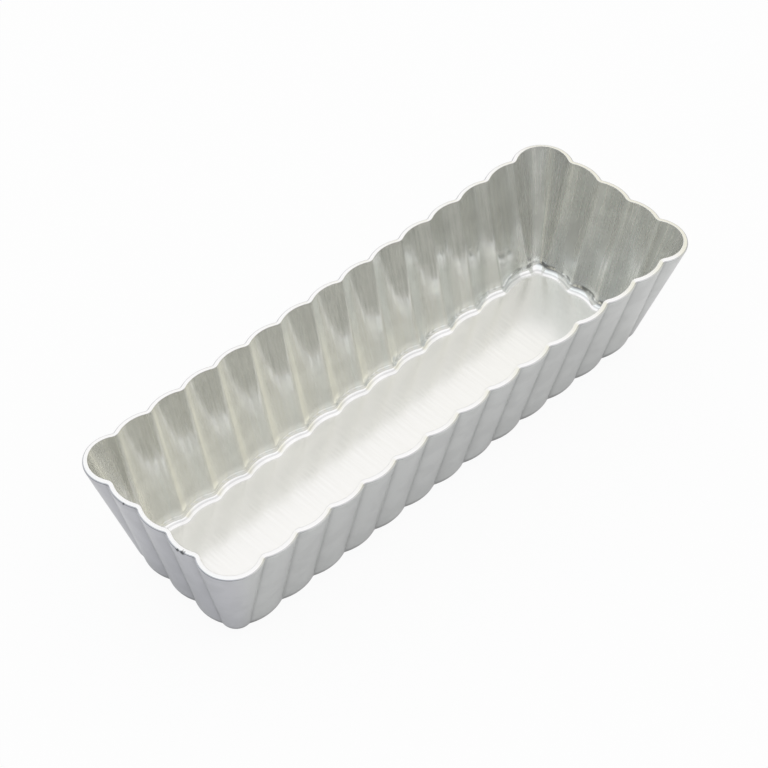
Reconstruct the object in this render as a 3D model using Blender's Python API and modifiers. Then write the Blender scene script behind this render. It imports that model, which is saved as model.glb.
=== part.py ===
"""A rectangular fluted tart mould, drawn in one piece from sheet aluminium.

It stands on its flat floor with the open side up. X runs along it and Y across it, and the
origin is under the middle of the floor. The inner face is lofted from three outlines, at the
edge of the floor, at the foot of the wall and at the rim, and then takes the sheet's thickness.
"""

import math

import bpy
from mathutils import Vector

NAME = "rectangular_fluted_tart_mould"

# Inside sizes in metres, measured from ridge to ridge across the mould.
RIM_LENGTH = 0.1414
RIM_WIDTH = 0.0450
HEIGHT = 0.0316
SHEET = 0.0013

# The walls lean out by the same angle all round and meet the floor in a fillet.
WALL_LEAN = math.radians(13.5)
FLOOR_FILLET = 0.0024

# The rim is trimmed flat, with a nearly sharp inner edge and a rounded outer one.
INNER_EDGE = 0.0001
OUTER_EDGE = 0.0004

# Flutes bulge outwards. Where two meet, the sheet is folded round the crease outside. They are
# deepest at the rim and fade towards the floor, where their creases are wider as well.
LONG_FLUTES = 13
END_FLUTES = 3
FLUTE_DEPTH = 0.0014
CREASE_RADIUS = 0.0008
FOOT_FLUTE_DEPTH = 0.00115
FLOOR_FLUTE_DEPTH = 0.0011
FLOOR_CREASE_RADIUS = 0.0020

# A corner lobe takes up this run of each wall beside it. It opens from a narrow foot to a
# nearly half round rim, and is gone at the floor.
RIM_CORNER = 0.0088
FOOT_CORNER = 0.0031
FLOOR_CORNER = 0.0013
RIM_CORNER_SWEEP = math.radians(172)
FOOT_CORNER_SWEEP = math.radians(136)
FLOOR_RIDGE_TURN = math.radians(10)

# Facets along a flute and a corner lobe, round a crease, up the fillet and round the rim's edges.
FLUTE_STEPS = 4
CORNER_STEPS = 10
CREASE_STEPS = 2
FILLET_STEPS = 4
EDGE_STEPS = 2

ALUMINIUM = (0.60, 0.60, 0.59, 1.0)


def clear_scene():
    for obj in list(bpy.data.objects):
        bpy.data.objects.remove(obj, do_unlink=True)


def ridge_points(length, width, corner):
    """The points between the lobes, anticlockwise from the lower ridge of the +X end wall."""
    far_x, far_y = length / 2, width / 2
    end_ys = [(far_y - corner) * (2 * i / END_FLUTES - 1) for i in range(END_FLUTES + 1)]
    long_xs = [(far_x - corner) * (1 - 2 * i / LONG_FLUTES) for i in range(LONG_FLUTES + 1)]
    half = [Vector((far_x, y)) for y in end_ys] + [Vector((x, far_y)) for x in long_xs]
    return half + [-point for point in half]


def flute_sweep(depth, chord):
    """The angle of the arc that bulges by depth over chord."""
    return 4 * math.atan2(2 * depth, chord)


def lobe_sweeps(length, width, corner, corner_sweep, depth):
    """The arc angle of each lobe. A corner_sweep of None leaves only a slight turn at its ridges."""
    end = flute_sweep(depth, (width - 2 * corner) / END_FLUTES)
    long = flute_sweep(depth, (length - 2 * corner) / LONG_FLUTES)
    if corner_sweep is None:
        corner_sweep = math.pi / 2 - (end + long) / 2 + 2 * FLOOR_RIDGE_TURN
    return 2 * ([end] * END_FLUTES + [corner_sweep] + [long] * LONG_FLUTES + [corner_sweep])


def lobe_circle(start, end, sweep):
    """Centre and radius of the arc that bulges to the right of the way from start to end."""
    chord = end - start
    radius = chord.length / (2 * math.sin(sweep / 2))
    outward = Vector((chord.y, -chord.x)).normalized()
    return (start + end) / 2 - outward * radius * math.cos(sweep / 2), radius


def crease_centre(lobe, following, fold):
    """Centre of the fold that touches two neighbouring lobes from outside the mould."""
    (a, a_radius), (b, b_radius) = lobe, following
    a_reach, b_reach = a_radius + fold, b_radius + fold
    along = (b - a).normalized()
    span = (b - a).length
    run = (a_reach ** 2 - b_reach ** 2 + span ** 2) / (2 * span)
    rise = math.sqrt(a_reach ** 2 - run ** 2)
    return a + along * run + Vector((along.y, -along.x)) * rise


def arc_points(centre, radius, start, end, steps):
    """Points round centre, by the short way from the direction of start to that of end."""
    first = math.atan2(start.y - centre.y, start.x - centre.x)
    last = math.atan2(end.y - centre.y, end.x - centre.x)
    turn = math.remainder(last - first, 2 * math.pi)
    angles = [first + turn * i / steps for i in range(steps + 1)]
    return [centre + radius * Vector((math.cos(t), math.sin(t))) for t in angles]


def outline(length, width, corner, corner_sweep, depth, crease_radius):
    """The inner face of the wall at one height, as points in a plane."""
    points = ridge_points(length, width, corner)
    sweeps = lobe_sweeps(length, width, corner, corner_sweep, depth)
    steps = 2 * ([FLUTE_STEPS] * END_FLUTES + [CORNER_STEPS] + [FLUTE_STEPS] * LONG_FLUTES + [CORNER_STEPS])
    count = len(points)
    fold = crease_radius + SHEET
    lobes = [lobe_circle(points[i], points[(i + 1) % count], sweeps[i]) for i in range(count)]
    creases = [crease_centre(lobes[i - 1], lobes[i], fold) for i in range(count)]
    result = []
    for i in range(count):
        following = (i + 1) % count
        centre, radius = lobes[i]
        crease = creases[following]
        result += arc_points(centre, radius, creases[i], crease, steps[i])
        result += arc_points(crease, fold, centre, lobes[following][0], CREASE_STEPS)[1:-1]
    return result


def level_ring(low, high, share, height):
    """The points a share of the way from the outline low to the outline high, at a height."""
    return [a.lerp(b, share).to_3d() + Vector((0, 0, height)) for a, b in zip(low, high)]


def inner_rings():
    """The inner face as rings of points, from the edge of the floor up to the rim."""
    foot_height = SHEET + FLOOR_FILLET * (1 - math.sin(WALL_LEAN))
    wall_run = (HEIGHT - foot_height) * math.tan(WALL_LEAN)
    fillet_run = FLOOR_FILLET * math.cos(WALL_LEAN)
    foot_length, foot_width = RIM_LENGTH - 2 * wall_run, RIM_WIDTH - 2 * wall_run
    floor_length, floor_width = foot_length - 2 * fillet_run, foot_width - 2 * fillet_run

    floor = outline(floor_length, floor_width, FLOOR_CORNER, None, FLOOR_FLUTE_DEPTH, FLOOR_CREASE_RADIUS)
    foot = outline(foot_length, foot_width, FOOT_CORNER, FOOT_CORNER_SWEEP, FOOT_FLUTE_DEPTH, CREASE_RADIUS)
    rim = outline(RIM_LENGTH, RIM_WIDTH, RIM_CORNER, RIM_CORNER_SWEEP, FLUTE_DEPTH, CREASE_RADIUS)

    rings = []
    for step in range(FILLET_STEPS + 1):
        slope = math.pi / 2 + (WALL_LEAN - math.pi / 2) * step / FILLET_STEPS
        share = math.cos(slope) / math.cos(WALL_LEAN)
        height = SHEET + FLOOR_FILLET * (1 - math.sin(slope))
        rings.append(level_ring(floor, foot, share, height))
    for step in range(EDGE_STEPS + 1):
        height = HEIGHT - OUTER_EDGE * (1 - math.sin(math.pi / 2 * step / EDGE_STEPS))
        rings.append(level_ring(foot, rim, (height - foot_height) / (HEIGHT - foot_height), height))
    return rings


def sheet_share(height):
    """The share of the sheet that is left at a height, where the rim's outer edge rounds off."""
    rise = max(0.0, min(1.0, 1 - (HEIGHT - height) / OUTER_EDGE))
    return 1 - OUTER_EDGE / SHEET * (1 - math.sqrt(1 - rise ** 2))


def lofted_mesh(name, rings):
    """An open surface through the rings, closed by a flat floor, with its faces turned outwards."""
    count = len(rings[0])
    points = [point for ring in rings for point in ring]
    faces = [list(range(count))[::-1]]
    for low in range(0, len(points) - count, count):
        for i in range(count):
            after = (i + 1) % count
            faces.append((low + i, low + after, low + count + after, low + count + i))
    mesh = bpy.data.meshes.new(name)
    mesh.from_pydata(points, [], faces)
    mesh.shade_smooth()
    mesh.set_sharp_from_angle(angle=math.radians(40))
    return mesh


def aluminium():
    """Satin drawn aluminium sheet."""
    material = bpy.data.materials.new("drawn_aluminium")
    material.use_nodes = True
    shader = material.node_tree.nodes["Principled BSDF"]
    shader.inputs["Base Color"].default_value = ALUMINIUM
    shader.inputs["Metallic"].default_value = 1.0
    shader.inputs["Roughness"].default_value = 0.35
    return material


def add_shell(collection):
    """The whole mould: floor, fillet, fluted walls and rim in one sheet."""
    shell = bpy.data.objects.new("fluted_shell", lofted_mesh("fluted_shell", inner_rings()))
    collection.objects.link(shell)
    shell.data.materials.append(aluminium())

    left = shell.vertex_groups.new(name="sheet_share")
    for vertex in shell.data.vertices:
        left.add([vertex.index], sheet_share(vertex.co.z), "REPLACE")

    sheet = shell.modifiers.new("sheet", "SOLIDIFY")
    sheet.thickness = SHEET
    sheet.offset = 1
    sheet.use_even_offset = True
    sheet.vertex_group = "sheet_share"

    rounding = shell.modifiers.new("inner_edge", "BEVEL")
    rounding.limit_method = "ANGLE"
    rounding.angle_limit = math.radians(60)
    rounding.width = INNER_EDGE
    rounding.segments = EDGE_STEPS
    rounding.use_clamp_overlap = False
    return shell


def main():
    clear_scene()
    collection = bpy.data.collections.new(NAME)
    bpy.context.scene.collection.children.link(collection)
    add_shell(collection)


main()
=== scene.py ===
"""A rectangular fluted tart mould, drawn in one piece from sheet aluminium, on a pale studio floor.

The mould lies along X with its open side up. Its skin is pulled up ring by ring from the edge of
the floor, through the fillet, to the rim, and then takes the sheet's thickness.
"""

import math

import bpy
from mathutils import Matrix, Vector


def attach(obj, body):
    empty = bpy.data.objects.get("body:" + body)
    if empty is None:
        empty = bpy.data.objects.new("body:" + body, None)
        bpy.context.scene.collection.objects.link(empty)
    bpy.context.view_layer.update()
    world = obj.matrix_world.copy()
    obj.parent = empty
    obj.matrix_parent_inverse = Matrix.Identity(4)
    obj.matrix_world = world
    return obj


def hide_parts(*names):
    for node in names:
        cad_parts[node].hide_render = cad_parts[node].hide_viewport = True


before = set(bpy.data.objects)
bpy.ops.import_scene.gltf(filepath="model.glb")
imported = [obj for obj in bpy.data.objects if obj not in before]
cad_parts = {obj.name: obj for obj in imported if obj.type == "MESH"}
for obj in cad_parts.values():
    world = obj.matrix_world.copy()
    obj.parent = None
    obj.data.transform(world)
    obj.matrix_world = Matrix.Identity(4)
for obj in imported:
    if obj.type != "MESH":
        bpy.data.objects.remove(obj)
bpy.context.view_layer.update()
bpy.ops.object.select_all(action="DESELECT")

MM = 0.001

# Inside sizes in metres, measured from ridge to ridge across the mould.
RIM_LENGTH = 141.4 * MM
RIM_WIDTH = 45.0 * MM
HEIGHT = 31.6 * MM
SHEET = 1.3 * MM

# The walls lean out by the same angle all round and meet the floor in a fillet.
WALL_LEAN = math.radians(13.5)
FLOOR_FILLET = 2.4 * MM

# The rim is trimmed flat, with a nearly sharp inner edge and a rounded outer one.
INNER_EDGE = 0.1 * MM
OUTER_EDGE = 0.4 * MM

# Flutes bulge outwards. Where two meet, the sheet is folded round the crease outside. They are
# deepest at the rim and fade towards the floor, where their creases are wider as well.
LONG_FLUTES = 13
END_FLUTES = 3
FLUTE_DEPTH = 1.4 * MM
CREASE_RADIUS = 0.8 * MM
FOOT_FLUTE_DEPTH = 1.15 * MM
FLOOR_FLUTE_DEPTH = 1.1 * MM
FLOOR_CREASE_RADIUS = 2.0 * MM

# A corner lobe takes up this run of each wall beside it. It opens from a narrow foot to a
# nearly half round rim, and is gone at the floor.
RIM_CORNER = 8.8 * MM
FOOT_CORNER = 3.1 * MM
FLOOR_CORNER = 1.3 * MM
RIM_CORNER_SWEEP = math.radians(172)
FOOT_CORNER_SWEEP = math.radians(136)
FLOOR_RIDGE_TURN = math.radians(10)

# Steps along a flute and a corner lobe, round a crease, up the fillet and wall, and round the rim.
# Edges below SMOOTH_ANGLE are shaded as curves, and those above SHARP_ANGLE are rounded off.
FLUTE_STEPS = 16
CORNER_STEPS = 36
CREASE_STEPS = 6
FILLET_STEPS = 12
WALL_STEPS = 10
EDGE_STEPS = 4
SMOOTH_ANGLE = math.radians(40)
SHARP_ANGLE = math.radians(60)

# The floor's face has a narrow border that keeps the shading of its edge out of the flat. A face
# of the skin is floor where its normal stands as upright as LEVEL_NORMAL.
FLOOR_MARGIN = 0.4 * MM
LEVEL_NORMAL = 0.9999

# Colours, and the least and greatest roughness of each face. The inside wall is hazy with fine
# scratches, so INSIDE_METAL leaves it a little less than wholly metallic.
INSIDE_COLOUR = "E6E6E1"
INSIDE_ROUGH = (0.12, 0.22)
INSIDE_METAL = 0.78
FLOOR_COLOUR = "F9F9F5"
FLOOR_ROUGH = (0.15, 0.20)
OUTSIDE_COLOUR = "D8D9D8"
OUTSIDE_ROUGH = (0.22, 0.24)
RIM_COLOUR = "FAFAF8"
RIM_ROUGH = 0.18

# The drawing die leaves fine upright lines, and the rolling mill leaves them across the floor. The
# real ones are about a tenth of a millimetre apart, too fine to show, and are drawn coarser here.
LINE_WIDTH = 0.8 * MM
LINE_LENGTH = 25.0 * MM
LINE_DETAIL = 2.0
LINE_RAGGEDNESS = 0.55
INSIDE_RELIEF = 0.010 * MM
OUTSIDE_RELIEF = 0.001 * MM
FLOOR_RELIEF = 0.003 * MM
WALL_SPREAD = 0.5
FLOOR_SPREAD = 0.6

# A pattern goes from none to full over the middle of its noise, where most of the values lie.
NOISE_MIDDLE = (0.40, 0.60)
PATCH_DETAIL = 3.0

# The sheet is stretched most round the ends, where it grows duller inside. Over these distances from the
# middle, measured at the foot of the wall, it grows duller, and painted shade makes it darker inside and
# darker and bluer outside.
DULL_END = (52.0 * MM, 62.0 * MM)
DULLING = 0.12
SHADED_END = (63.0 * MM, 66.0 * MM)
SHADED_END_COLOUR = "D6D7D4"
BLUE_SHADED_END = (58.0 * MM, 64.0 * MM)
BLUE_SHADED_END_COLOUR = "CCCCD0"

# Painted shade darkens the outside creases and the outside of the foot, and painted dark reflections lie
# in patches at the top of the end fillets. Each point away from a crease has the crease fade's share of the
# mark before it.
CREASE_SHADE_TONE = 0.80
CREASE_SHADE_FADE = 0.4
FOOT_SHADE_EDGE = (2.0 * MM, 3.6 * MM)
FOOT_SHADE_TONE = 0.45
DARK_REFLECTION_HEIGHT = 2.9 * MM
DARK_REFLECTION_REACH = (0.2 * MM, 0.6 * MM)
DARK_REFLECTION_TONE = 0.35
DARK_REFLECTION_SIZE = 2.5 * MM

# The punch polishes the fillet up to this height. A faint darker line round the fillet is painted shade
# across its bright reflection.
FILLET_COLOUR = "FAFAF8"
FILLET_ROUGH = 0.07
POLISH_TOP = (3.0 * MM, 5.0 * MM)
FILLET_SHADE_LINE = 1.62 * MM
FILLET_SHADE_LINE_EDGE = (0.04 * MM, 0.16 * MM)
FILLET_SHADE_LINE_TONE = 0.80

# Handling leaves both faces of the wall a little lighter and darker in soft patches.
MOTTLE_SIZE = 5.0 * MM
MOTTLE_TONES = (0.955, 1.02)

# Knocks have left dark nicks on the outer edge of the rim at one end: where they are and how far
# they reach. Their outlines are ragged by NICK_GRAIN.
NICKS = (
    (Vector((-73.2, -9.6, 31.2)) * MM, 0.50 * MM),
    (Vector((-73.0, -10.9, 31.2)) * MM, 0.65 * MM),
    (Vector((-72.9, 7.5, 31.1)) * MM, 0.35 * MM))
NICK_TONE = 0.25
NICK_GRAIN = 0.4 * MM
NICK_DETAIL = 2.0

# The room is bright overhead and darker towards the horizon. It leans, so that more of its light
# comes from the back and the right, and it is shaded low down all round.
CEILING_LEVEL = 1.04
HORIZON_LEVEL = 0.28
HORIZON_TOP = (math.radians(-14), math.radians(22))
ROOM_LEAN = (math.radians(14), math.radians(-30), 0.0)
SHADE_LEVEL = 0.85
SHADE_TOP = (math.radians(-10), math.radians(20))

# Its light is a little blue from the left and a little yellow from the right.
ROOM_TINT = "FBFAFC"
LEFT_TINT = "F4F9FC"
LEFT_REACH = (-0.8, 0.3)
RIGHT_TINT = "EDEBDF"
RIGHT_REACH = (0.45, 0.75)

# The paper shows almost white, and reflections in the metal see it lifted a little.
WHITE = (1.0, 1.0, 1.0, 1.0)
PAPER_COLOUR = "F0F0F0"
PAPER_SIZE = 3.0
PAPER_GAP = 0.2 * MM
CAMERA_WHITE = 0.94
MIRROR_WHITE = 0.22

# The view is from above the near corner.
CAMERA_AZIMUTH = math.radians(-45.0)
CAMERA_ELEVATION = math.radians(47.2)
CAMERA_ROLL = math.radians(0.555)
CAMERA_DISTANCE = 584.5 * MM
CAMERA_TARGET = Vector((0.66, 4.73, 14.55)) * MM
CAMERA_LENS = 121.1
CAMERA_SENSOR = 36.0


# The outline of the inner face at one height

def ridge_points(length, width, corner):
    """The points between the lobes, anticlockwise from the lower ridge of the +X end wall."""
    far_x, far_y = length / 2, width / 2
    end_ys = [(far_y - corner) * (2 * i / END_FLUTES - 1) for i in range(END_FLUTES + 1)]
    long_xs = [(far_x - corner) * (1 - 2 * i / LONG_FLUTES) for i in range(LONG_FLUTES + 1)]
    half = [Vector((far_x, y)) for y in end_ys] + [Vector((x, far_y)) for x in long_xs]
    return half + [-point for point in half]


def for_each_lobe(end, corner, long):
    """One value for each lobe, anticlockwise from the lowest flute of the +X end wall."""
    return 2 * ([end] * END_FLUTES + [corner] + [long] * LONG_FLUTES + [corner])


def flute_sweep(depth, chord):
    """The angle of the arc that bulges by depth over chord."""
    return 4 * math.atan2(2 * depth, chord)


def lobe_sweeps(length, width, corner, corner_sweep, depth):
    """The arc angle of each lobe. A corner_sweep of None leaves only a slight turn at its ridges."""
    end = flute_sweep(depth, (width - 2 * corner) / END_FLUTES)
    long = flute_sweep(depth, (length - 2 * corner) / LONG_FLUTES)
    if corner_sweep is None:
        corner_sweep = math.pi / 2 - (end + long) / 2 + 2 * FLOOR_RIDGE_TURN
    return for_each_lobe(end, corner_sweep, long)


def lobe_circle(start, end, sweep):
    """Centre and radius of the arc that bulges to the right of the way from start to end."""
    chord = end - start
    radius = chord.length / (2 * math.sin(sweep / 2))
    outward = Vector((chord.y, -chord.x)).normalized()
    return (start + end) / 2 - outward * radius * math.cos(sweep / 2), radius


def crease_centre(lobe, following, fold):
    """Centre of the fold that touches two neighbouring lobes from outside the mould."""
    (a, a_radius), (b, b_radius) = lobe, following
    a_reach, b_reach = a_radius + fold, b_radius + fold
    along = (b - a).normalized()
    span = (b - a).length
    run = (a_reach ** 2 - b_reach ** 2 + span ** 2) / (2 * span)
    rise = math.sqrt(a_reach ** 2 - run ** 2)
    return a + along * run + Vector((along.y, -along.x)) * rise


def arc_points(centre, radius, start, end, steps):
    """Points round centre, by the short way from the direction of start to that of end."""
    first = math.atan2(start.y - centre.y, start.x - centre.x)
    last = math.atan2(end.y - centre.y, end.x - centre.x)
    turn = math.remainder(last - first, 2 * math.pi)
    angles = [first + turn * i / steps for i in range(steps + 1)]
    return [centre + radius * Vector((math.cos(t), math.sin(t))) for t in angles]


def outline(length, width, corner, corner_sweep, depth, crease_radius):
    """The inner face of the wall at one height, as points in a plane."""
    points = ridge_points(length, width, corner)
    sweeps = lobe_sweeps(length, width, corner, corner_sweep, depth)
    steps = for_each_lobe(FLUTE_STEPS, CORNER_STEPS, FLUTE_STEPS)
    count = len(points)
    fold = crease_radius + SHEET
    lobes = [lobe_circle(points[i], points[(i + 1) % count], sweeps[i]) for i in range(count)]
    creases = [crease_centre(lobes[i - 1], lobes[i], fold) for i in range(count)]
    result = []
    for i in range(count):
        following = (i + 1) % count
        centre, radius = lobes[i]
        crease = creases[following]
        result += arc_points(centre, radius, creases[i], crease, steps[i])
        result += arc_points(crease, fold, centre, lobes[following][0], CREASE_STEPS)[1:-1]
    return result


def level_ring(low, high, share, height):
    """The points a share of the way from the outline low to the outline high, at a height."""
    return [a.lerp(b, share).to_3d() + Vector((0, 0, height)) for a, b in zip(low, high)]


def inner_rings():
    """The inner face as rings of points, from the edge of the floor up to the rim."""
    foot_height = SHEET + FLOOR_FILLET * (1 - math.sin(WALL_LEAN))
    wall_run = (HEIGHT - foot_height) * math.tan(WALL_LEAN)
    fillet_run = FLOOR_FILLET * math.cos(WALL_LEAN)
    foot_length, foot_width = RIM_LENGTH - 2 * wall_run, RIM_WIDTH - 2 * wall_run
    floor_length, floor_width = foot_length - 2 * fillet_run, foot_width - 2 * fillet_run

    floor = outline(floor_length, floor_width, FLOOR_CORNER, None, FLOOR_FLUTE_DEPTH, FLOOR_CREASE_RADIUS)
    foot = outline(foot_length, foot_width, FOOT_CORNER, FOOT_CORNER_SWEEP, FOOT_FLUTE_DEPTH, CREASE_RADIUS)
    rim = outline(RIM_LENGTH, RIM_WIDTH, RIM_CORNER, RIM_CORNER_SWEEP, FLUTE_DEPTH, CREASE_RADIUS)

    rings = []
    for step in range(FILLET_STEPS + 1):
        slope = math.pi / 2 + (WALL_LEAN - math.pi / 2) * step / FILLET_STEPS
        share = math.cos(slope) / math.cos(WALL_LEAN)
        height = SHEET + FLOOR_FILLET * (1 - math.sin(slope))
        rings.append(level_ring(floor, foot, share, height))
    rise = HEIGHT - foot_height
    for step in range(1, WALL_STEPS):
        share = step / WALL_STEPS
        rings.append(level_ring(foot, rim, share, foot_height + rise * share))
    for step in range(EDGE_STEPS + 1):
        height = HEIGHT - OUTER_EDGE * (1 - math.sin(math.pi / 2 * step / EDGE_STEPS))
        rings.append(level_ring(foot, rim, (height - foot_height) / rise, height))
    return rings


# The shell

# The order of the finishes. The inner wall and floor follow the outer ones by the same step.
OUTSIDE_WALL, UNDERSIDE, INSIDE_WALL, INSIDE_FLOOR, RIM_EDGE = range(5)


def number_stations(mesh):
    """Gives each point of the first ring its number, which every point pulled up from it keeps."""
    stations = mesh.attributes.new("station", "INT", "POINT")
    stations.data.foreach_set("value", range(len(mesh.vertices)))


def pull_up(shell, ring):
    """Extrudes the selected edges and sets the new points on the ring."""
    bpy.ops.object.mode_set(mode="EDIT")
    bpy.ops.mesh.extrude_edges_move()
    bpy.ops.object.mode_set(mode="OBJECT")
    stations = shell.data.attributes["station"].data
    for vertex in shell.data.vertices:
        if vertex.select:
            vertex.co = ring[stations[vertex.index].value]


def fill_floor(shell, ring):
    """Closes the lowest ring with a flat face inside a narrow border."""
    bpy.ops.object.mode_set(mode="EDIT")
    bpy.ops.mesh.select_all(action="DESELECT")
    bpy.ops.object.mode_set(mode="OBJECT")
    for edge in shell.data.edges:
        edge.select = max(edge.vertices) < len(ring)
    bpy.ops.object.mode_set(mode="EDIT")
    bpy.ops.mesh.edge_face_add()
    bpy.ops.mesh.inset(thickness=FLOOR_MARGIN, depth=0)
    bpy.ops.mesh.select_all(action="SELECT")
    bpy.ops.mesh.normals_make_consistent(inside=False)
    bpy.ops.object.mode_set(mode="OBJECT")


def inner_face(rings):
    """The floor, fillet and wall as one open skin, from a ring shaped to the floor's edge."""
    bpy.ops.mesh.primitive_circle_add(vertices=len(rings[0]), radius=RIM_WIDTH / 2, location=(0, 0, 0))
    shell = bpy.context.object
    shell.name = shell.data.name = "drawn_shell"
    for vertex, point in zip(shell.data.vertices, rings[0]):
        vertex.co = point
    number_stations(shell.data)

    bpy.ops.object.mode_set(mode="EDIT")
    bpy.ops.mesh.select_mode(type="EDGE")
    bpy.ops.mesh.select_all(action="SELECT")
    bpy.ops.object.mode_set(mode="OBJECT")
    for ring in rings[1:]:
        pull_up(shell, ring)
    fill_floor(shell, rings[0])
    return shell


def sheet_share(height):
    """The share of the sheet that is left at a height, where the rim's outer edge rounds off."""
    rise = max(0.0, min(1.0, 1 - (HEIGHT - height) / OUTER_EDGE))
    return 1 - OUTER_EDGE / SHEET * (1 - math.sqrt(1 - rise ** 2))


def thicken(shell):
    """Gives the skin its sheet, outwards, with both edges of the rim rounded."""
    left = shell.vertex_groups.new(name="sheet_share")
    for vertex in shell.data.vertices:
        left.add([vertex.index], sheet_share(vertex.co.z), "REPLACE")
    sheet = shell.modifiers.new("sheet", "SOLIDIFY")
    sheet.thickness = SHEET
    sheet.offset = 1
    sheet.use_even_offset = True
    sheet.vertex_group = "sheet_share"
    sheet.material_offset = INSIDE_WALL
    sheet.material_offset_rim = RIM_EDGE
    rounding = shell.modifiers.new("inner_edge", "BEVEL")
    rounding.limit_method = "ANGLE"
    rounding.angle_limit = SHARP_ANGLE
    rounding.width = INNER_EDGE
    rounding.segments = EDGE_STEPS
    rounding.use_clamp_overlap = False
    rounding.material = RIM_EDGE
    bpy.ops.object.modifier_apply(modifier="sheet")
    bpy.ops.object.modifier_apply(modifier="inner_edge")


def drawn_shell():
    """The whole mould, with a material for each of its faces."""
    rings = inner_rings()
    shell = inner_face(rings)
    for face in shell.data.polygons:
        level = abs(face.normal.z) > LEVEL_NORMAL
        face.material_index = UNDERSIDE if level else OUTSIDE_WALL
    map_sheet(shell.data, rings)
    mark_crease_shade(shell.data)
    for finish in (outside_wall(), underside(), inside_wall(), inside_floor(), trimmed_rim()):
        shell.data.materials.append(finish)
    thicken(shell)
    bpy.ops.object.shade_smooth_by_angle(angle=SMOOTH_ANGLE)
    return shell


# The map that the finish follows

def way_round(rings):
    """How far round the wall each station lies at half height, and the whole way round."""
    middle = [low.lerp(high, 0.5) for low, high in zip(rings[FILLET_STEPS], rings[-1])]
    so_far = [0.0]
    for before, after in zip(middle, middle[1:] + middle[:1]):
        so_far.append(so_far[-1] + (after - before).length)
    return so_far[:-1], so_far[-1]


def mark_crease_shade(mesh):
    """Marks the folds with one, and the lobes beside them less and less over a few points: painted shade."""
    fold = [1.0] * (CREASE_STEPS - 1)
    marks = []
    for lobe in for_each_lobe(FLUTE_STEPS, CORNER_STEPS, FLUTE_STEPS):
        marks += [CREASE_SHADE_FADE ** min(1 + i, 1 + lobe - i) for i in range(lobe + 1)] + fold
    mesh.attributes.new("crease", "FLOAT", "POINT")
    stations = mesh.attributes["station"].data
    mesh.attributes["crease"].data.foreach_set("value", [marks[station.value] for station in stations])


def map_sheet(mesh, rings):
    """Lays the sheet out flat: the floor as it lies, and the wall by its way round and its height."""
    around, whole = way_round(rings)
    last = len(rings[0]) - 1
    layout = mesh.uv_layers.new(name="sheet").data
    stations = mesh.attributes["station"].data
    for face in mesh.polygons:
        seam = last in [stations[v].value for v in face.vertices]
        for corner in face.loop_indices:
            vertex = mesh.vertices[mesh.loops[corner].vertex_index]
            station = stations[vertex.index].value
            if face.material_index == UNDERSIDE:
                layout[corner].uv = vertex.co.xy
            elif seam and station == 0:
                layout[corner].uv = (whole, vertex.co.z)
            else:
                layout[corner].uv = (around[station], vertex.co.z)


# Materials

def linear(hex_colour):
    """An sRGB hex colour as the linear red, green, blue and alpha that a socket takes."""
    channels = [int(hex_colour[i:i + 2], 16) / 255 for i in (0, 2, 4)]
    return [c / 12.92 if c <= 0.04045 else ((c + 0.055) / 1.055) ** 2.4 for c in channels] + [1.0]


def add_node(tree, kind, settings=None, sockets=None):
    """Adds a node with its settings, and fills its sockets with values or with other nodes' outputs."""
    node = tree.nodes.new(kind)
    for name, value in (settings or {}).items():
        setattr(node, name, value)
    for socket, value in (sockets or {}).items():
        if isinstance(value, bpy.types.NodeSocket):
            tree.links.new(value, node.inputs[socket])
        else:
            node.inputs[socket].default_value = value
    return node


def new_material(name):
    """A material with nothing in it yet, and its node tree."""
    material = bpy.data.materials.new(name)
    material.use_nodes = True
    material.node_tree.nodes.clear()
    return material, material.node_tree


def fine_lines(tree, rough, relief):
    """The roughness and the normal of a face with fine lines up the wall or across the floor."""
    layout = add_node(tree, "ShaderNodeUVMap", {"uv_map": "sheet"})
    stretched = add_node(tree, "ShaderNodeMapping", sockets={
        "Vector": layout.outputs["UV"], "Scale": (1 / LINE_WIDTH, 1 / LINE_LENGTH, 1)})
    lines = add_node(tree, "ShaderNodeTexNoise", {"noise_dimensions": "2D"}, {
        "Vector": stretched.outputs["Vector"], "Scale": 1.0,
        "Detail": LINE_DETAIL, "Roughness": LINE_RAGGEDNESS})
    roughness = add_node(tree, "ShaderNodeMapRange", {"interpolation_type": "SMOOTHSTEP"}, {
        "Value": lines.outputs["Fac"], "From Min": NOISE_MIDDLE[0], "From Max": NOISE_MIDDLE[1],
        "To Min": rough[0], "To Max": rough[1]})
    bump = add_node(tree, "ShaderNodeBump", sockets={"Height": lines.outputs["Fac"], "Distance": relief})
    return roughness.outputs["Result"], bump.outputs["Normal"]


def add_metal(tree, spread, sockets):
    """A bare metal surface, which spreads its reflections across the lines by spread."""
    across = add_node(tree, "ShaderNodeTangent", {"direction_type": "UV_MAP", "uv_map": "sheet"})
    sockets = {"Metallic": 1.0, "Anisotropic": spread, "Tangent": across.outputs["Tangent"], **sockets}
    shader = add_node(tree, "ShaderNodeBsdfPrincipled", sockets=sockets)
    add_node(tree, "ShaderNodeOutputMaterial", sockets={"Surface": shader.outputs["BSDF"]})


def towards_ends(tree, axes, reach):
    """How far a point lies into an end, from nothing to one, wherever it is up the leaning wall."""
    from_middle = add_node(tree, "ShaderNodeMath", {"operation": "ABSOLUTE"}, {0: axes.outputs["X"]})
    at_foot = add_node(tree, "ShaderNodeMath", {"operation": "MULTIPLY_ADD"}, {
        0: axes.outputs["Z"], 1: -math.tan(WALL_LEAN), 2: from_middle.outputs["Value"]})
    share = add_node(tree, "ShaderNodeMapRange", {"interpolation_type": "SMOOTHSTEP"}, {
        "Value": at_foot.outputs["Value"], "From Min": reach[0], "From Max": reach[1]})
    return share.outputs["Result"]


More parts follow.
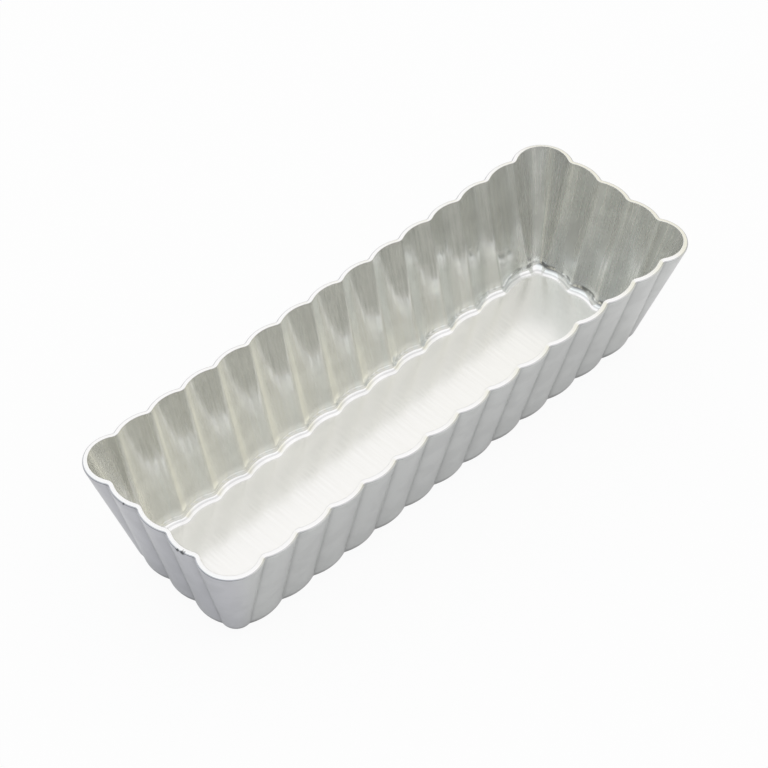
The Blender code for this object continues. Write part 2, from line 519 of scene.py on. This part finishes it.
def mottled(tree, place, tone):
    """The tone, a little lighter and darker in soft patches."""
    noise = add_node(tree, "ShaderNodeTexNoise", sockets={
        "Vector": place.outputs["Object"], "Scale": 1 / MOTTLE_SIZE, "Detail": PATCH_DETAIL})
    patches = add_node(tree, "ShaderNodeMapRange", {"interpolation_type": "SMOOTHSTEP"}, {
        "Value": noise.outputs["Fac"], "From Min": NOISE_MIDDLE[0], "From Max": NOISE_MIDDLE[1],
        "To Min": MOTTLE_TONES[0], "To Max": MOTTLE_TONES[1]})
    mottle = add_node(tree, "ShaderNodeMath", {"operation": "MULTIPLY"}, {
        0: tone, 1: patches.outputs["Result"]})
    return mottle.outputs["Value"]


def nicked(tree, place, tone):
    """The tone, with the dark nicks of the rim's outer edge in it."""
    ragged = add_node(tree, "ShaderNodeTexNoise", {"normalize": False}, {
        "Vector": place.outputs["Object"], "Scale": 1 / NICK_GRAIN, "Detail": NICK_DETAIL})
    moved = add_node(tree, "ShaderNodeVectorMath", {"operation": "MULTIPLY_ADD"}, {
        0: ragged.outputs["Color"], 1: (NICK_GRAIN, NICK_GRAIN, NICK_GRAIN), 2: place.outputs["Object"]})
    for at, reach in NICKS:
        off = add_node(tree, "ShaderNodeVectorMath", {"operation": "DISTANCE"}, {
            0: moved.outputs["Vector"], 1: at})
        nick = add_node(tree, "ShaderNodeMapRange", {"interpolation_type": "SMOOTHSTEP"}, {
            "Value": off.outputs["Value"], "From Min": reach / 2, "From Max": reach,
            "To Min": NICK_TONE, "To Max": 1.0})
        darkened = add_node(tree, "ShaderNodeMath", {"operation": "MULTIPLY"}, {
            0: tone, 1: nick.outputs["Result"]})
        tone = darkened.outputs["Value"]
    return tone


def outside_wall():
    # Drawn aluminium: faintly mottled grey, with painted shade that makes it darker and bluer round the ends
    # and darker in the creases and along the foot, and a few dark nicks at the rim.
    material, tree = new_material("drawn_aluminium_outside")
    roughness, normal = fine_lines(tree, OUTSIDE_ROUGH, OUTSIDE_RELIEF)
    place = add_node(tree, "ShaderNodeTexCoord")
    axes = add_node(tree, "ShaderNodeSeparateXYZ", sockets={"Vector": place.outputs["Object"]})
    # Painted shade: darker and bluer round the ends.
    colour = add_node(tree, "ShaderNodeMix", {"data_type": "RGBA"}, {
        "Factor": towards_ends(tree, axes, BLUE_SHADED_END),
        "A": linear(OUTSIDE_COLOUR), "B": linear(BLUE_SHADED_END_COLOUR)})

    # Painted shade: darker in the creases and towards the foot.
    crease = add_node(tree, "ShaderNodeAttribute", {"attribute_name": "crease"})
    crease_shade = add_node(tree, "ShaderNodeMapRange", sockets={
        "Value": crease.outputs["Fac"], "To Min": 1.0, "To Max": CREASE_SHADE_TONE})
    at_foot = add_node(tree, "ShaderNodeMapRange", {"interpolation_type": "SMOOTHSTEP"}, {
        "Value": axes.outputs["Z"], "From Min": FOOT_SHADE_EDGE[0], "From Max": FOOT_SHADE_EDGE[1],
        "To Min": FOOT_SHADE_TONE, "To Max": 1.0})
    tone = add_node(tree, "ShaderNodeMath", {"operation": "MULTIPLY"}, {
        0: crease_shade.outputs["Result"], 1: at_foot.outputs["Result"]})
    patchy = mottled(tree, place, tone.outputs["Value"])
    darkened = add_node(tree, "ShaderNodeVectorMath", {"operation": "SCALE"}, {
        "Vector": colour.outputs["Result"], "Scale": nicked(tree, place, patchy)})
    add_metal(tree, WALL_SPREAD, {
        "Base Color": darkened.outputs["Vector"], "Roughness": roughness, "Normal": normal})
    return material


def underside():
    # Rolled aluminium: flat grey with fine lines across.
    material, tree = new_material("rolled_aluminium_underside")
    roughness, normal = fine_lines(tree, OUTSIDE_ROUGH, FLOOR_RELIEF)
    add_metal(tree, FLOOR_SPREAD, {
        "Base Color": linear(OUTSIDE_COLOUR), "Roughness": roughness, "Normal": normal})
    return material


def dark_reflection_tone(tree, place, axes, ends):
    """The tone of the painted dark reflection in patches at the top of the end fillets."""
    off_height = add_node(tree, "ShaderNodeMath", {"operation": "SUBTRACT"}, {
        0: axes.outputs["Z"], 1: DARK_REFLECTION_HEIGHT})
    from_height = add_node(tree, "ShaderNodeMath", {"operation": "ABSOLUTE"}, {
        0: off_height.outputs["Value"]})
    near = add_node(tree, "ShaderNodeMapRange", {"interpolation_type": "SMOOTHSTEP"}, {
        "Value": from_height.outputs["Value"], "From Min": DARK_REFLECTION_REACH[0], "From Max": DARK_REFLECTION_REACH[1],
        "To Min": 1.0, "To Max": 0.0})
    noise = add_node(tree, "ShaderNodeTexNoise", sockets={
        "Vector": place.outputs["Object"], "Scale": 1 / DARK_REFLECTION_SIZE, "Detail": PATCH_DETAIL})
    patches = add_node(tree, "ShaderNodeMapRange", {"interpolation_type": "SMOOTHSTEP"}, {
        "Value": noise.outputs["Fac"], "From Min": NOISE_MIDDLE[0], "From Max": NOISE_MIDDLE[1]})
    in_patch = add_node(tree, "ShaderNodeMath", {"operation": "MULTIPLY"}, {
        0: near.outputs["Result"], 1: patches.outputs["Result"]})
    at_end = add_node(tree, "ShaderNodeMath", {"operation": "MULTIPLY"}, {
        0: in_patch.outputs["Value"], 1: ends})
    tone = add_node(tree, "ShaderNodeMapRange", sockets={
        "Value": at_end.outputs["Value"], "To Min": 1.0, "To Max": DARK_REFLECTION_TONE})
    return tone.outputs["Result"]


def inside_wall():
    # Drawn aluminium: upright reflections of the other walls, crisp along the middle and streaky at the
    # ends, where painted shade darkens it, over a bright polished fillet with a faint painted shade line
    # round it and patches of painted dark reflection.
    material, tree = new_material("drawn_aluminium_inside")
    satin, normal = fine_lines(tree, INSIDE_ROUGH, INSIDE_RELIEF)
    place = add_node(tree, "ShaderNodeTexCoord")
    axes = add_node(tree, "ShaderNodeSeparateXYZ", sockets={"Vector": place.outputs["Object"]})

    ends = towards_ends(tree, axes, DULL_END)
    dulled = add_node(tree, "ShaderNodeMath", {"operation": "MULTIPLY_ADD"}, {0: ends, 1: DULLING, 2: satin})

    above = add_node(tree, "ShaderNodeMapRange", {"interpolation_type": "SMOOTHSTEP"}, {
        "Value": axes.outputs["Z"], "From Min": POLISH_TOP[0], "From Max": POLISH_TOP[1]})
    roughness = add_node(tree, "ShaderNodeMix", {"data_type": "FLOAT"}, {
        "Factor": above.outputs["Result"], "A": FILLET_ROUGH, "B": dulled.outputs["Value"]})
    metallic = add_node(tree, "ShaderNodeMix", {"data_type": "FLOAT"}, {
        "Factor": above.outputs["Result"], "A": 1.0, "B": INSIDE_METAL})
    # Painted shade: darker round the ends.
    wall_colour = add_node(tree, "ShaderNodeMix", {"data_type": "RGBA"}, {
        "Factor": towards_ends(tree, axes, SHADED_END),
        "A": linear(INSIDE_COLOUR), "B": linear(SHADED_END_COLOUR)})
    colour = add_node(tree, "ShaderNodeMix", {"data_type": "RGBA"}, {
        "Factor": above.outputs["Result"], "A": linear(FILLET_COLOUR), "B": wall_colour.outputs["Result"]})

    # Painted shade: a faint darker line round the fillet.
    off_line = add_node(tree, "ShaderNodeMath", {"operation": "SUBTRACT"}, {
        0: axes.outputs["Z"], 1: FILLET_SHADE_LINE})
    from_line = add_node(tree, "ShaderNodeMath", {"operation": "ABSOLUTE"}, {
        0: off_line.outputs["Value"]})
    line = add_node(tree, "ShaderNodeMapRange", {"interpolation_type": "SMOOTHSTEP"}, {
        "Value": from_line.outputs["Value"],
        "From Min": FILLET_SHADE_LINE_EDGE[0], "From Max": FILLET_SHADE_LINE_EDGE[1],
        "To Min": FILLET_SHADE_LINE_TONE, "To Max": 1.0})
    # Painted dark reflection: patches at the top of the end fillets.
    tone = add_node(tree, "ShaderNodeMath", {"operation": "MULTIPLY"}, {
        0: line.outputs["Result"], 1: dark_reflection_tone(tree, place, axes, ends)})
    marked = add_node(tree, "ShaderNodeVectorMath", {"operation": "SCALE"}, {
        "Vector": colour.outputs["Result"], "Scale": mottled(tree, place, tone.outputs["Value"])})
    add_metal(tree, WALL_SPREAD, {
        "Base Color": marked.outputs["Vector"], "Metallic": metallic.outputs["Result"],
        "Roughness": roughness.outputs["Result"], "Normal": normal})
    return material


def inside_floor():
    # Rolled aluminium: nearly white where it faces the ceiling, with the far wall's soft reflection.
    material, tree = new_material("rolled_aluminium_floor")
    roughness, normal = fine_lines(tree, FLOOR_ROUGH, FLOOR_RELIEF)
    add_metal(tree, FLOOR_SPREAD, {
        "Base Color": linear(FLOOR_COLOUR), "Roughness": roughness, "Normal": normal})
    return material


def trimmed_rim():
    # Bare cut aluminium: a thin white line round the mould with a grey outer edge, nicked in places.
    material, tree = new_material("trimmed_aluminium_rim")
    place = add_node(tree, "ShaderNodeTexCoord")
    marked = add_node(tree, "ShaderNodeVectorMath", {"operation": "SCALE"}, {
        "Vector": linear(RIM_COLOUR)[:3], "Scale": nicked(tree, place, 1.0)})
    add_metal(tree, 0.0, {"Base Color": marked.outputs["Vector"], "Roughness": RIM_ROUGH})
    return material


# Studio

def add_camera():
    """Looks at the target from the azimuth and elevation, turned a little about the line of sight."""
    right = Vector((math.cos(CAMERA_AZIMUTH), math.sin(CAMERA_AZIMUTH), 0))
    level_back = Vector((math.sin(CAMERA_AZIMUTH), -math.cos(CAMERA_AZIMUTH), 0))
    back = level_back * math.cos(CAMERA_ELEVATION) + Vector((0, 0, math.sin(CAMERA_ELEVATION)))
    up = back.cross(right)
    turned_right = right * math.cos(CAMERA_ROLL) + up * math.sin(CAMERA_ROLL)
    turned_up = up * math.cos(CAMERA_ROLL) - right * math.sin(CAMERA_ROLL)
    axes = Matrix((turned_right, turned_up, back)).transposed()
    data = bpy.data.cameras.new("camera")
    data.sensor_width = CAMERA_SENSOR
    data.lens = CAMERA_LENS
    camera = bpy.data.objects.new("camera", data)
    camera.matrix_world = Matrix.Translation(CAMERA_TARGET + back * CAMERA_DISTANCE) @ axes.to_4x4()
    bpy.context.scene.collection.objects.link(camera)
    bpy.context.scene.camera = camera


def room_level(tree, direction):
    """How bright the room is in a direction: by height in the leaning room, and shaded low down."""
    leant = add_node(tree, "ShaderNodeMapping", sockets={"Vector": direction, "Rotation": ROOM_LEAN})
    leant_axes = add_node(tree, "ShaderNodeSeparateXYZ", sockets={"Vector": leant.outputs["Vector"]})
    level = add_node(tree, "ShaderNodeMapRange", {"interpolation_type": "SMOOTHSTEP"}, {
        "Value": leant_axes.outputs["Z"],
        "From Min": math.sin(HORIZON_TOP[0]), "From Max": math.sin(HORIZON_TOP[1]),
        "To Min": HORIZON_LEVEL, "To Max": CEILING_LEVEL})
    axes = add_node(tree, "ShaderNodeSeparateXYZ", sockets={"Vector": direction})
    shade = add_node(tree, "ShaderNodeMapRange", {"interpolation_type": "SMOOTHSTEP"}, {
        "Value": axes.outputs["Z"],
        "From Min": math.sin(SHADE_TOP[0]), "From Max": math.sin(SHADE_TOP[1]),
        "To Min": SHADE_LEVEL, "To Max": 1.0})
    shaded = add_node(tree, "ShaderNodeMath", {"operation": "MULTIPLY"}, {
        0: level.outputs["Result"], 1: shade.outputs["Result"]})
    return shaded.outputs["Value"]


def room_tint(tree, direction):
    """The tint of the room's light, from left to right."""
    axes = add_node(tree, "ShaderNodeSeparateXYZ", sockets={"Vector": direction})
    past_left = add_node(tree, "ShaderNodeMapRange", {"interpolation_type": "SMOOTHSTEP"}, {
        "Value": axes.outputs["X"], "From Min": LEFT_REACH[0], "From Max": LEFT_REACH[1]})
    cool = add_node(tree, "ShaderNodeMix", {"data_type": "RGBA"}, {
        "Factor": past_left.outputs["Result"], "A": linear(LEFT_TINT), "B": linear(ROOM_TINT)})
    into_right = add_node(tree, "ShaderNodeMapRange", {"interpolation_type": "SMOOTHSTEP"}, {
        "Value": axes.outputs["X"], "From Min": RIGHT_REACH[0], "From Max": RIGHT_REACH[1]})
    tint = add_node(tree, "ShaderNodeMix", {"data_type": "RGBA"}, {
        "Factor": into_right.outputs["Result"], "A": cool.outputs["Result"], "B": linear(RIGHT_TINT)})
    return tint.outputs["Result"]


def add_room():
    """A plain soft room, which shows white where the camera looks past the paper."""
    world = bpy.data.worlds.new("studio_room")
    bpy.context.scene.world = world
    world.use_nodes = True
    tree = world.node_tree
    tree.nodes.clear()
    place = add_node(tree, "ShaderNodeTexCoord")
    direction = place.outputs["Generated"]
    room = add_node(tree, "ShaderNodeBackground", sockets={
        "Color": room_tint(tree, direction), "Strength": room_level(tree, direction)})
    white = add_node(tree, "ShaderNodeBackground", sockets={"Color": WHITE, "Strength": 1.0})
    rays = add_node(tree, "ShaderNodeLightPath")
    seen = add_node(tree, "ShaderNodeMixShader", sockets={
        0: rays.outputs["Is Camera Ray"], 1: room.outputs["Background"], 2: white.outputs["Background"]})
    add_node(tree, "ShaderNodeOutputWorld", sockets={"Surface": seen.outputs["Shader"]})


def white_paper():
    # Matt white paper: nearly pure white, with only the mould's faint shadow on it.
    material, tree = new_material("white_studio_paper")
    rays = add_node(tree, "ShaderNodeLightPath")
    direct = add_node(tree, "ShaderNodeMath", {"operation": "MULTIPLY"}, {
        0: rays.outputs["Is Camera Ray"], 1: CAMERA_WHITE})
    share = add_node(tree, "ShaderNodeMath", {"operation": "MULTIPLY_ADD"}, {
        0: rays.outputs["Is Glossy Ray"], 1: MIRROR_WHITE, 2: direct.outputs["Value"]})
    paper = add_node(tree, "ShaderNodeBsdfDiffuse", sockets={"Color": linear(PAPER_COLOUR)})
    white = add_node(tree, "ShaderNodeEmission", sockets={"Color": WHITE, "Strength": 1.0})
    mixed = add_node(tree, "ShaderNodeMixShader", sockets={
        0: share.outputs["Value"], 1: paper.outputs["BSDF"], 2: white.outputs["Emission"]})
    add_node(tree, "ShaderNodeOutputMaterial", sockets={"Surface": mixed.outputs["Shader"]})
    return material


def add_paper():
    """The studio floor that the mould stands on."""
    bpy.ops.mesh.primitive_plane_add(size=PAPER_SIZE, location=(0, 0, -PAPER_GAP))
    paper = bpy.context.object
    paper.name = "studio_floor"
    paper.data.materials.append(white_paper())


# The scene

shell = drawn_shell()
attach(shell, "root")
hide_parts("fluted_shell")

add_paper()
add_room()
add_camera()
bpy.context.scene.view_settings.view_transform = "Standard"
